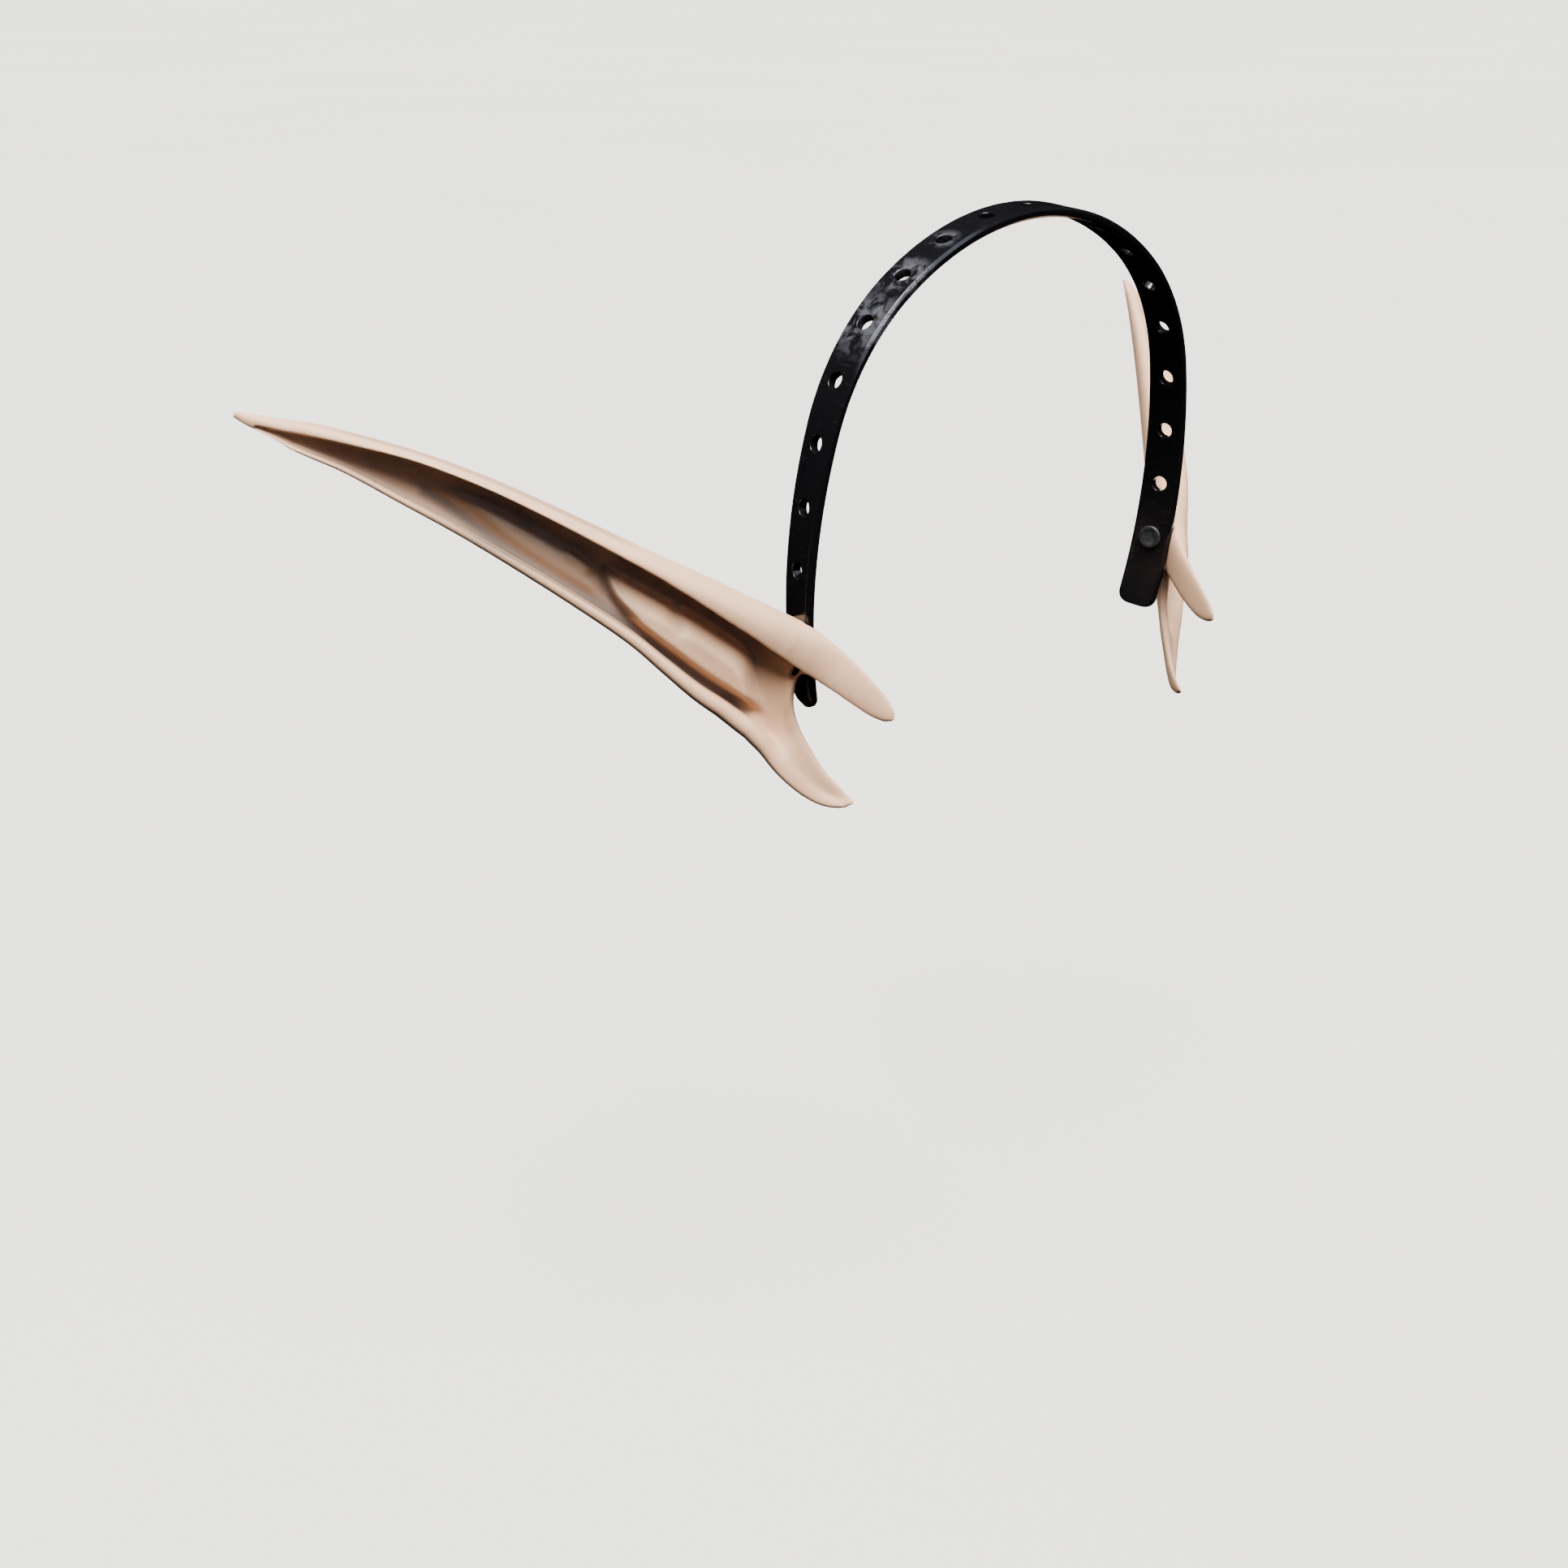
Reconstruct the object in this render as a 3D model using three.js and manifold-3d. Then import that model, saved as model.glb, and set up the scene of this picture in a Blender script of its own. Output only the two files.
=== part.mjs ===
// Pair of long elf ears carried on a punched plastic headband, worn over the crown of the head.
// Millimetres, +Z up, the wearer faces -Y, and the wearer's right is -X.
// The origin is the underside of the band at the middle of the crown, where it sits on the head.

import * as THREE from 'three';
import { mergeVertices } from 'three/addons/utils/BufferGeometryUtils.js';
import Module from 'manifold-3d';

const wasm = await Module();
wasm.setup();

// Headband
const bandWidth = 12;
const bandThickness = 2.8;
const bandChamfer = 0.7;
const bandHalfLength = 177;
const crownRadius = 88;
const crownTurn = THREE.MathUtils.degToRad(36);
const shoulderRadius = 63;
const shoulderTurn = THREE.MathUtils.degToRad(40);
const sideRadius = 149;
const bandLean = THREE.MathUtils.degToRad(5.1);
const bandTwist = THREE.MathUtils.degToRad(20);
const twistStart = 55;
const bandEndRadius = 3.5;
const bandEndSteps = 5;
const bandStep = 6;
const holeDiameter = 4.5;
const holePitch = 17.2;
const holesPerSide = 9;
const holeSides = 12;

// Ears: the blade runs from the root out to the tip, the root part from the root forward
const bladeLength = 157;
const rootLength = 36;
const earHeight = 34;
const earDepth = 12.5;
const earWall = 2.6;
const lipThickness = 1.9;
const rimRadius = 3;
const bladeSweep = THREE.MathUtils.degToRad(43);
const bladeRise = THREE.MathUtils.degToRad(25.8);
const rootBendRadius = 65;
const rootBendStart = 12;
const earStations = 44;
const notchStations = 18;

// Where the ear sits on the band, and what holds it there
const seatOut = 4.2;
const seatBack = 1.3;
const seatDown = 9.4;
const clearance = 0.3;
const postDiameter = holeDiameter - 2 * clearance;
const postDepth = 5;
const postHeadDiameter = 7;
const postHeadThickness = 1;
const bossDiameter = 8;
const bossLength = 6.5;
const bossSides = 16;

// Fixing slot through the wall beside the notch
const slotAt = -4.2;
const slotWidth = 1.6;
const slotHeight = 5;
const slotFloor = -0.4;

// Sections of the ear, from the front of the root to the tip. Columns: at is the place along
// the root part (below zero) or the blade (above zero) as a share of its length; top, lip and
// low are heights as shares of the ear's height; reach is how far the lip stands forward and
// roll where the lower rim lies, as shares of the depth; rim is the lower rim's radius as a
// share of the full radius; roof is how far the hollow goes up behind the lip.
const earSections = [
  { at: -1, top: 0.155, lip: 0.13, low: -0.695, reach: 0.16, roll: 0.12, rim: 0.3, roof: 0 },
  { at: -0.92, top: 0.23, lip: 0.09, low: -0.77, reach: 0.23, roll: 0.21, rim: 0.4, roof: 0 },
  { at: -0.81, top: 0.285, lip: 0.06, low: -0.82, reach: 0.28, roll: 0.29, rim: 0.5, roof: 0 },
  { at: -0.67, top: 0.325, lip: 0.055, low: -0.82, reach: 0.33, roll: 0.4, rim: 0.6, roof: 0 },
  { at: -0.5, top: 0.365, lip: 0.065, low: -0.775, reach: 0.39, roll: 0.52, rim: 0.75, roof: 0 },
  { at: -0.33, top: 0.4, lip: 0.08, low: -0.71, reach: 0.48, roll: 0.6, rim: 0.87, roof: 0.1 },
  { at: -0.17, top: 0.425, lip: 0.095, low: -0.63, reach: 0.59, roll: 0.67, rim: 0.95, roof: 0.3 },
  { at: 0, top: 0.44, lip: 0.125, low: -0.57, reach: 0.72, roll: 0.72, rim: 1, roof: 0.6 },
  { at: 0.057, top: 0.43, lip: 0.155, low: -0.525, reach: 0.86, roll: 0.74, rim: 0.97, roof: 0.85 },
  { at: 0.115, top: 0.43, lip: 0.195, low: -0.475, reach: 0.94, roll: 0.76, rim: 0.9, roof: 1 },
  { at: 0.18, top: 0.432, lip: 0.245, low: -0.39, reach: 1, roll: 0.74, rim: 0.8, roof: 1 },
  { at: 0.255, top: 0.425, lip: 0.29, low: -0.29, reach: 1, roll: 0.71, rim: 0.7, roof: 1 },
  { at: 0.355, top: 0.425, lip: 0.325, low: -0.21, reach: 1, roll: 0.68, rim: 0.65, roof: 1 },
  { at: 0.47, top: 0.425, lip: 0.35, low: -0.14, reach: 0.96, roll: 0.62, rim: 0.57, roof: 1 },
  { at: 0.585, top: 0.41, lip: 0.35, low: -0.085, reach: 0.9, roll: 0.55, rim: 0.47, roof: 1 },
  { at: 0.7, top: 0.36, lip: 0.3, low: -0.053, reach: 0.79, roll: 0.48, rim: 0.38, roof: 0.9 },
  { at: 0.8, top: 0.28, lip: 0.195, low: -0.03, reach: 0.66, roll: 0.4, rim: 0.32, roof: 0.8 },
  { at: 0.88, top: 0.2, lip: 0.095, low: -0.045, reach: 0.52, roll: 0.32, rim: 0.25, roof: 0.6 },
  { at: 0.93, top: 0.12, lip: 0.018, low: -0.045, reach: 0.38, roll: 0.23, rim: 0.19, roof: 0.4 },
  { at: 0.97, top: 0.06, lip: -0.025, low: -0.04, reach: 0.25, roll: 0.16, rim: 0.13, roof: 0.2 },
  { at: 1, top: 0.018, lip: -0.012, low: -0.028, reach: 0.13, roll: 0.08, rim: 0.1, roof: 0 },
];

// Edge of the notch that the wall leaves open between tongue and lobe, with the same shares.
// Columns: low is the height of the lobe's inner edge, and top that of the tongue's side.
const notchSections = [
  { at: -1.1, low: -0.69, top: 0.24 },
  { at: -1, low: -0.672, top: 0.17 },
  { at: -0.965, low: -0.663, top: 0.13 },
  { at: -0.92, low: -0.65, top: 0.09 },
  { at: -0.81, low: -0.62, top: 0.05 },
  { at: -0.67, low: -0.57, top: 0.045 },
  { at: -0.5, low: -0.47, top: 0.052 },
  { at: -0.33, low: -0.345, top: 0.062 },
  { at: -0.22, low: -0.215, top: 0.062 },
  { at: -0.17, low: -0.09, top: 0.05 },
  { at: -0.157, low: -0.04, top: 0.04 },
];

// Swellings on the wall inside the trough. Columns: at as above; height, where it lies, as a
// share of the ear's height; slope in degrees; long and wide, its half sizes as shares of the
// blade's length and the ear's height; proud, how far it stands out, in shares of the wall.
const swellings = [
  { at: 0.5, height: 0.075, slope: 8, long: 0.1, wide: 0.06, proud: 0.6 },
  { at: 0.4, height: 0.115, slope: 12, long: 0.03, wide: 0.035, proud: 0.4 },
  { at: 0.2, height: -0.13, slope: 15, long: 0.11, wide: 0.11, proud: 0.75 },
];

const earSkin = new THREE.MeshStandardMaterial({ color: 0xdcb898, roughness: 0.55, metalness: 0 });
const bandPlastic = new THREE.MeshStandardMaterial({ color: 0x0c0c0e, roughness: 0.32, metalness: 0 });
const postPlastic = new THREE.MeshStandardMaterial({ color: 0x161618, roughness: 0.45, metalness: 0 });

// Reads one column of a table at a place between its rows, along a smooth curve
function readTable(rows, at, column) {
  const last = rows.length - 1;
  const next = rows.findIndex((row) => row.at >= at);
  const i = next < 0 ? last - 1 : Math.max(next - 1, 0);
  const slope = (a, b) => (rows[b][column] - rows[a][column]) / (rows[b].at - rows[a].at);
  const before = slope(Math.max(i - 1, 0), i + 1);
  const after = slope(i, Math.min(i + 2, last));
  const span = rows[i + 1].at - rows[i].at;
  const t = THREE.MathUtils.clamp((at - rows[i].at) / span, 0, 1);
  const start = rows[i][column] * (1 + 2 * t) * (1 - t) ** 2;
  const end = rows[i + 1][column] * t * t * (3 - 2 * t);
  return start + end + span * (before * t * (1 - t) ** 2 - after * t * t * (1 - t));
}

// Closed skin through rings of points, with its two ends filled in
function loft(rings, flatStart, flatEnd) {
  const count = rings[0].length;
  const positions = rings.flatMap((ring) => ring.flatMap((point) => point.toArray()));
  const index = [];
  for (let r = 0; r + 1 < rings.length; r += 1) {
    for (let k = 0; k < count; k += 1) {
      const a = r * count + k;
      const b = r * count + ((k + 1) % count);
      index.push(a, b, b + count, a, b + count, a + count);
    }
  }
  for (const [a, b, c] of THREE.ShapeUtils.triangulateShape(flatStart, [])) {
    index.push(a, c, b);
  }
  const base = (rings.length - 1) * count;
  for (const [a, b, c] of THREE.ShapeUtils.triangulateShape(flatEnd, [])) {
    index.push(base + a, base + b, base + c);
  }
  const geometry = new THREE.BufferGeometry();
  geometry.setAttribute('position', new THREE.Float32BufferAttribute(positions, 3));
  geometry.setIndex(index);
  return geometry;
}

function toSolid(geometry) {
  const bare = geometry.clone();
  bare.deleteAttribute('normal');
  bare.deleteAttribute('uv');
  const merged = mergeVertices(bare);
  const mesh = new wasm.Mesh({
    numProp: 3,
    vertProperties: new Float32Array(merged.attributes.position.array),
    triVerts: new Uint32Array(merged.index.array),
  });
  return new wasm.Manifold(mesh);
}

function toGeometry(solid) {
  const mesh = solid.getMesh();
  const geometry = new THREE.BufferGeometry();
  geometry.setAttribute('position', new THREE.BufferAttribute(mesh.vertProperties, 3));
  geometry.setIndex(new THREE.BufferAttribute(mesh.triVerts, 1));
  return geometry;
}

// Round rod from a point along a direction
function rod(start, direction, length, diameter, sides) {
  const geometry = new THREE.CylinderGeometry(diameter / 2, diameter / 2, length, sides);
  const turn = new THREE.Quaternion().setFromUnitVectors(new THREE.Vector3(0, 1, 0), direction);
  geometry.translate(0, length / 2, 0);
  geometry.applyQuaternion(turn);
  geometry.translate(start.x, start.y, start.z);
  return toSolid(geometry);
}

// Middle of the band's outer face at a length along it from the crown, below zero to the right,
// with the directions along it, across it towards the back, and out of its outer face
function bandFrame(arc) {
  const side = arc < 0 ? -1 : 1;
  const bends = [
    { length: crownRadius * crownTurn, radius: crownRadius },
    { length: shoulderRadius * shoulderTurn, radius: shoulderRadius },
    { length: Infinity, radius: sideRadius },
  ];
  let left = Math.abs(arc);
  let angle = 0;
  let x = 0;
  let z = 0;
  for (const bend of bends) {
    const step = Math.min(left, bend.length);
    const turned = angle + step / bend.radius;
    x += bend.radius * (Math.sin(turned) - Math.sin(angle));
    z -= bend.radius * (Math.cos(angle) - Math.cos(turned));
    angle = turned;
    left -= step;
  }
  const twistShare = (Math.abs(arc) - twistStart) / (bandHalfLength - twistStart);
  const twist = bandTwist * THREE.MathUtils.clamp(twistShare, 0, 1);
  const outward = new THREE.Vector3(side * Math.sin(angle), 0, Math.cos(angle));
  const back = new THREE.Vector3(0, 1, 0);
  const along = new THREE.Vector3(Math.cos(angle), 0, -side * Math.sin(angle));
  const across = back.clone().multiplyScalar(Math.cos(twist));
  across.addScaledVector(outward, -Math.sin(twist));
  outward.multiplyScalar(Math.cos(twist)).addScaledVector(back, Math.sin(twist));
  const point = new THREE.Vector3(side * x, 0, z + bandThickness);
  const lean = new THREE.Quaternion().setFromAxisAngle(new THREE.Vector3(1, 0, 0), bandLean);
  for (const vector of [point, outward, along, across]) {
    vector.applyQuaternion(lean);
  }
  return { point, along, across, outward };
}

// Band as a solid, without its holes, grown all round by a margin
function bandSolid(margin) {
  const reach = bandHalfLength + margin;
  const corner = bandEndRadius + margin;
  const ends = [];
  for (let k = 0; k <= bandEndSteps; k += 1) {
    const angle = (Math.PI / 2) * (k / bandEndSteps);
    ends.push({ arc: reach - corner * (1 - Math.sin(angle)), inset: corner * (1 - Math.cos(angle)) });
  }
  const middleCount = Math.ceil((2 * (reach - corner)) / bandStep);
  const stations = ends.map(({ arc, inset }) => ({ arc: -arc, inset })).reverse();
  for (let k = 1; k < middleCount; k += 1) {
    stations.push({ arc: (reach - corner) * ((2 * k) / middleCount - 1), inset: 0 });
  }
  stations.push(...ends);
  const flats = [];
  const rings = stations.map(({ arc, inset }) => {
    const half = bandWidth / 2 + margin - inset;
    const inner = -bandThickness - margin;
    const cut = Math.min(bandChamfer, half / 2);
    const flat = [
      [-half, inner + cut],
      [-half + cut, inner],
      [half - cut, inner],
      [half, inner + cut],
      [half, margin - cut],
      [half - cut, margin],
      [-half + cut, margin],
      [-half, margin - cut],
    ].map(([across, out]) => new THREE.Vector2(across, out));
    flats.push(flat);
    const frame = bandFrame(arc);
    return flat.map((p) => frame.point.clone()
      .addScaledVector(frame.across, p.x)
      .addScaledVector(frame.outward, p.y));
  });
  return toSolid(loft(rings, flats[0], flats[flats.length - 1]));
}

function headband() {
  let solid = bandSolid(0);
  for (let k = -holesPerSide; k <= holesPerSide; k += 1) {
    const { point, outward } = bandFrame(k * holePitch);
    const start = point.clone().addScaledVector(outward, -2 * bandThickness);
    solid = solid.subtract(rod(start, outward, 3 * bandThickness, holeDiameter, holeSides));
  }
  return solid;
}

// Seat of the right ear: the outermost hole of the band on that side
const seat = bandFrame(-holesPerSide * holePitch);

// Directions of the right ear at a place along it: along it to the tip, up it, and forward
// out of the trough
function earFrame(place) {
  const bend = Math.max(0, rootBendStart - place) / rootBendRadius;
  const sweep = bladeSweep + bend * Math.cos(bladeRise);
  const level = new THREE.Vector3(-Math.cos(sweep), Math.sin(sweep), 0);
  const along = level.clone().multiplyScalar(Math.cos(bladeRise));
  along.z = Math.sin(bladeRise);
  const up = level.clone().multiplyScalar(-Math.sin(bladeRise));
  up.z = Math.cos(bladeRise);
  const forward = new THREE.Vector3(-Math.sin(sweep), -Math.cos(sweep), 0);
  return { along, up, forward };
}

// Point of the right ear's spine at a place along it
function earSpine(place) {
  const point = seat.point.clone().add(new THREE.Vector3(-seatOut, seatBack, -seatDown));
  const bent = Math.min(place, rootBendStart);
  const steps = 12;
  for (let k = 0; k < steps; k += 1) {
    const { along } = earFrame((bent * (k + 0.5)) / steps);
    point.addScaledVector(along, bent / steps);
  }
  return point.addScaledVector(earFrame(rootBendStart).along, place - bent);
}

function earPlace(at) {
  return at < 0 ? at * rootLength : at * bladeLength;
}

// Puts a flat outline, forward and up, into the ear at a place along it
function placeRing(place, flat) {
  const frame = earFrame(place);
  const point = earSpine(place);
  return flat.map((p) => point.clone()
    .addScaledVector(frame.forward, p.x)
    .addScaledVector(frame.up, p.y));
}

// How far the wall inside the trough swells out at a place along the ear and a height on it
function swelling(place, height) {
  let proud = 0;
  for (const bump of swellings) {
    const slope = THREE.MathUtils.degToRad(bump.slope);
    const along = place - earPlace(bump.at);
    const up = height - bump.height * earHeight;
    const long = (along * Math.cos(slope) + up * Math.sin(slope)) / (bump.long * bladeLength);
    const wide = (up * Math.cos(slope) - along * Math.sin(slope)) / (bump.wide * earHeight);
    proud += bump.proud * earWall * Math.exp(-long * long - wide * wide);
  }
  return proud;
}

// Points along a Bezier curve, without its last one, from a step count and four corners
function curvePoints([steps, ...corners]) {
  const [a, b, c, d] = corners.map(([forward, up]) => new THREE.Vector2(forward, up));
  const curve = new THREE.CubicBezierCurve(a, b, c, d);
  return Array.from({ length: steps }, (_, k) => curve.getPoint(k / steps));
}

// Outline of the ear across its length: round the lip and over the top, down the back, round
// the lower rim and up the inside to the roof
function earOutline(at) {
  const read = (column) => readTable(earSections, at, column);
  const place = earPlace(at);
  const top = read('top') * earHeight;
  const lip = read('lip') * earHeight;
  const low = read('low') * earHeight;
  const reach = read('reach') * earDepth;
  const roll = read('roll') * earDepth;
  const rim = read('rim') * rimRadius;
  const wall = Math.min(earWall, reach * 0.42);
  const edge = Math.min(lipThickness, reach * 0.3);
  const rise = top - lip;
  const height = top - low;
  const waist = top - height * 0.45;
  const flatRoof = lip + rise * 0.15;
  const fullRoof = Math.max(top - earWall, lip + rise * 0.2);
  const roof = THREE.MathUtils.lerp(flatRoof, fullRoof, read('roof'));
  const valley = low + rim * 2.1;
  const groove = Math.max(roll - rim, wall);

  // Corners of the outline, forward and up, in the order in which the curves join them
  const lipOutside = [reach - edge * 0.3, lip];
  const crest = [reach * 0.35, top];
  const back = [0, waist];
  const keel = [roll, low];
  const bead = [roll + rim * 0.9, low + rim * 1.2];
  const gutter = [groove, valley];
  const wallInside = [wall, waist];
  const lipInside = [reach - edge, lip + rise * 0.12];
  const outside = [
    [4, lipOutside, [reach + edge * 0.2, lip + rise * 0.6], [reach * 0.78, top], crest],
    [4, crest, [reach * 0.06, top], [0, top - height * 0.16], back],
    [4, back, [0, low + height * 0.22], [roll - rim * 1.5, low], keel],
    [3, keel, [roll + rim * 0.75, low], [roll + rim * 1.1, low + rim * 0.6], bead],
    [3, bead, [roll + rim * 0.7, low + rim * 1.9], [groove + rim * 0.5, valley], gutter],
  ];
  const inside = [
    [5, gutter, [Math.max(groove - rim * 0.7, wall), valley], [wall, low + height * 0.3], wallInside],
    [5, wallInside, [wall, roof - rise * 0.1], [wall + reach * 0.1, roof], lipInside],
  ];
  const swells = reach > 2 * earWall;
  const trough = inside.flatMap(curvePoints);
  for (const point of trough) {
    point.x += swells && point.x < roll ? swelling(place, point.y) : 0;
  }
  return [...outside.flatMap(curvePoints), ...trough, new THREE.Vector2(...lipInside)];
}

// Walls of the ear, before the root is opened
function earShell() {
  const rings = [];
  const flats = [];
  for (let k = 0; k <= earStations; k += 1) {
    const place = THREE.MathUtils.lerp(-rootLength, bladeLength, k / earStations);
    const at = place < 0 ? place / rootLength : place / bladeLength;
    const flat = earOutline(at);
    flats.push(flat);
    rings.push(placeRing(place, flat));
  }
  return toSolid(loft(rings, flats[0], flats[flats.length - 1]));
}

// What is cut away between tongue and lobe
function notchCutter() {
  const back = -earWall;
  const front = 0.8 * earDepth;
  const start = notchSections[0].at;
  const end = notchSections[notchSections.length - 1].at;
  const flats = [];
  const rings = [];
  for (let k = 0; k <= notchStations; k += 1) {
    const at = THREE.MathUtils.lerp(start, end, k / notchStations);
    const low = readTable(notchSections, at, 'low') * earHeight;
    const top = readTable(notchSections, at, 'top') * earHeight;
    const middle = (low + top) / 2;
    const flat = [
      new THREE.Vector2(back, low),
      new THREE.Vector2(earWall / 2, low),
      new THREE.Vector2(front, low),
      new THREE.Vector2(front, middle),
      new THREE.Vector2(front, top),
      new THREE.Vector2(earWall / 2, top),
      new THREE.Vector2(back, top),
      new THREE.Vector2(back, middle),
    ];
    flats.push(flat);
    rings.push(placeRing(at * rootLength, flat));
  }
  return toSolid(loft(rings, flats[0], flats[notchStations]));
}

function slotCutter() {
  const { along, up } = earFrame(slotAt);
  const through = new THREE.Vector3().crossVectors(along, up);
  const box = new THREE.BoxGeometry(slotWidth, slotHeight, 4 * earWall);
  box.translate(0, slotFloor + slotHeight / 2, 0);
  box.applyMatrix4(new THREE.Matrix4().makeBasis(along, up, through));
  const point = earSpine(slotAt);
  box.translate(point.x, point.y, point.z);
  return toSolid(box);
}

function rightEar(bandSpace) {
  const boss = rod(seat.point, seat.outward, bossLength, bossDiameter, bossSides);
  const socket = rod(seat.point, seat.outward, postDepth + clearance, holeDiameter, holeSides);
  return earShell()
    .subtract(notchCutter())
    .subtract(slotCutter())
    .add(boss)
    .subtract(bandSpace)
    .subtract(socket);
}

// Plain post whose head lies inside the band and whose shank passes the hole into the ear
function rightPost() {
  const inner = seat.point.clone().addScaledVector(seat.outward, -bandThickness - clearance);
  const headStart = inner.clone().addScaledVector(seat.outward, -postHeadThickness);
  const head = rod(headStart, seat.outward, postHeadThickness, postHeadDiameter, bossSides);
  const shankLength = postHeadThickness + clearance + bandThickness + postDepth;
  return head.add(rod(headStart, seat.outward, shankLength, postDiameter, holeSides));
}

const object = new THREE.Group();

function addPart(name, solid, material) {
  const mesh = new THREE.Mesh(toGeometry(solid), material);
  mesh.name = name;
  object.add(mesh);
}

const ear = rightEar(bandSolid(clearance));
const post = rightPost();
addPart('headband', headband(), bandPlastic);
addPart('ear_right', ear, earSkin);
addPart('ear_left', ear.mirror([1, 0, 0]), earSkin);
addPart('ear_post_right', post, postPlastic);
addPart('ear_post_left', post.mirror([1, 0, 0]), postPlastic);

export default object;
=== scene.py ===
"""Looks of long elf ears on a punched plastic headband, worn as on the crown of a head.

Lengths are in millimetres until a mesh, light or camera is made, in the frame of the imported
part: +Z up, the wearer faces -Y, and the origin is where the band sits on the crown.
"""

import math

import bmesh
import bpy
import numpy as np
from mathutils import Matrix


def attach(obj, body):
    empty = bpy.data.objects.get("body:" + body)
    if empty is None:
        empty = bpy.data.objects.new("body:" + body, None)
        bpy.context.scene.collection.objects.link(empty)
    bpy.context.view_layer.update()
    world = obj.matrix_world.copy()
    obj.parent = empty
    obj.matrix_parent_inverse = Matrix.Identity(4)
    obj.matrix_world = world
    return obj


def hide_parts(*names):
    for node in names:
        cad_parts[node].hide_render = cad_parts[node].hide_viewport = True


MM = 0.001

# Headband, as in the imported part
BAND_WIDTH = 12.0
BAND_THICKNESS = 2.8
BAND_HALF_LENGTH = 177.0
CROWN_RADIUS = 88.0
CROWN_TURN = math.radians(36)
SHOULDER_RADIUS = 63.0
SHOULDER_TURN = math.radians(40)
SIDE_RADIUS = 149.0
BAND_LEAN = math.radians(5.1)
BAND_TWIST = math.radians(20)
TWIST_START = 55.0
BAND_END_RADIUS = 3.5
HOLE_DIAMETER = 4.5
HOLE_PITCH = 17.2
HOLES_PER_SIDE = 9

# Finish of the headband's edges
EDGE_INSET = 0.85
EDGE_DROP = 0.8
HOLE_EDGE = 0.3
CELL_STEPS_ALONG = 20
CELL_STEPS_ACROSS = 14

# Ears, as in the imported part
BLADE_LENGTH = 157.0
ROOT_LENGTH = 36.0
EAR_HEIGHT = 34.0
EAR_DEPTH = 12.5
EAR_WALL = 2.6
LIP_THICKNESS = 1.9
RIM_RADIUS = 3.0
BLADE_SWEEP = math.radians(43)
BLADE_RISE = math.radians(25.8)
ROOT_BEND_RADIUS = 65.0
ROOT_BEND_START = 12.0
SEAT_OUT = 4.2
SEAT_BACK = 1.3
SEAT_DOWN = 9.4
CLEARANCE = 0.3
POST_DIAMETER = HOLE_DIAMETER - 2 * CLEARANCE
POST_DEPTH = 5.0
POST_HEAD_DIAMETER = 7.0
POST_HEAD_THICKNESS = 1.0
BOSS_DIAMETER = 8.0
BOSS_LENGTH = 6.5
SLOT_AT = -4.2
SLOT_WIDTH = 1.6
SLOT_HEIGHT = 5.0
SLOT_FLOOR = -0.4

# Fineness of the ears: stations along them, points for each step of a section's curves, size of
# the even mesh, how it is rounded, and how many triangles an ear has in the end
EAR_STATIONS = 230
POINTS_PER_STEP = 6
NOTCH_STATIONS = 60
VOXEL = 0.28
ROUNDING_PASSES = 17
ROUNDING_FACTOR = 0.5
EDGE_PASSES = 90
EDGE_FACTOR = 0.8
EAR_TRIANGLES = 180000

# Sections of the ear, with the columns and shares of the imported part's source. Only the last four
# rows differ: the tip ends a little blunter and its rim stands out further
EAR_COLUMNS = ("at", "top", "lip", "low", "reach", "roll", "rim", "roof")
EAR_SECTIONS = (
    (-1, 0.155, 0.13, -0.695, 0.16, 0.12, 0.3, 0),
    (-0.92, 0.23, 0.09, -0.77, 0.23, 0.21, 0.4, 0),
    (-0.81, 0.285, 0.06, -0.82, 0.28, 0.29, 0.5, 0),
    (-0.67, 0.325, 0.055, -0.82, 0.33, 0.4, 0.6, 0),
    (-0.5, 0.365, 0.065, -0.775, 0.39, 0.52, 0.75, 0),
    (-0.33, 0.4, 0.08, -0.71, 0.48, 0.6, 0.87, 0.1),
    (-0.17, 0.425, 0.095, -0.63, 0.59, 0.67, 0.95, 0.3),
    (0, 0.44, 0.125, -0.57, 0.72, 0.72, 1, 0.6),
    (0.057, 0.43, 0.155, -0.525, 0.86, 0.74, 0.97, 0.85),
    (0.115, 0.43, 0.195, -0.475, 0.94, 0.76, 0.9, 1),
    (0.18, 0.432, 0.245, -0.39, 1, 0.74, 0.8, 1),
    (0.255, 0.425, 0.29, -0.29, 1, 0.71, 0.7, 1),
    (0.355, 0.425, 0.325, -0.21, 1, 0.68, 0.65, 1),
    (0.47, 0.425, 0.35, -0.14, 0.96, 0.62, 0.57, 1),
    (0.585, 0.41, 0.35, -0.085, 0.9, 0.55, 0.47, 1),
    (0.7, 0.36, 0.3, -0.053, 0.79, 0.48, 0.38, 0.9),
    (0.8, 0.28, 0.195, -0.03, 0.66, 0.4, 0.32, 0.8),
    (0.88, 0.2, 0.095, -0.041, 0.52, 0.38, 0.24, 0.6),
    (0.93, 0.12, 0.025, -0.037, 0.38, 0.3, 0.17, 0.4),
    (0.97, 0.066, -0.015, -0.035, 0.25, 0.2, 0.12, 0.2),
    (1, 0.026, -0.012, -0.03, 0.13, 0.08, 0.1, 0),
)
NOTCH_COLUMNS = ("at", "low", "top")
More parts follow.
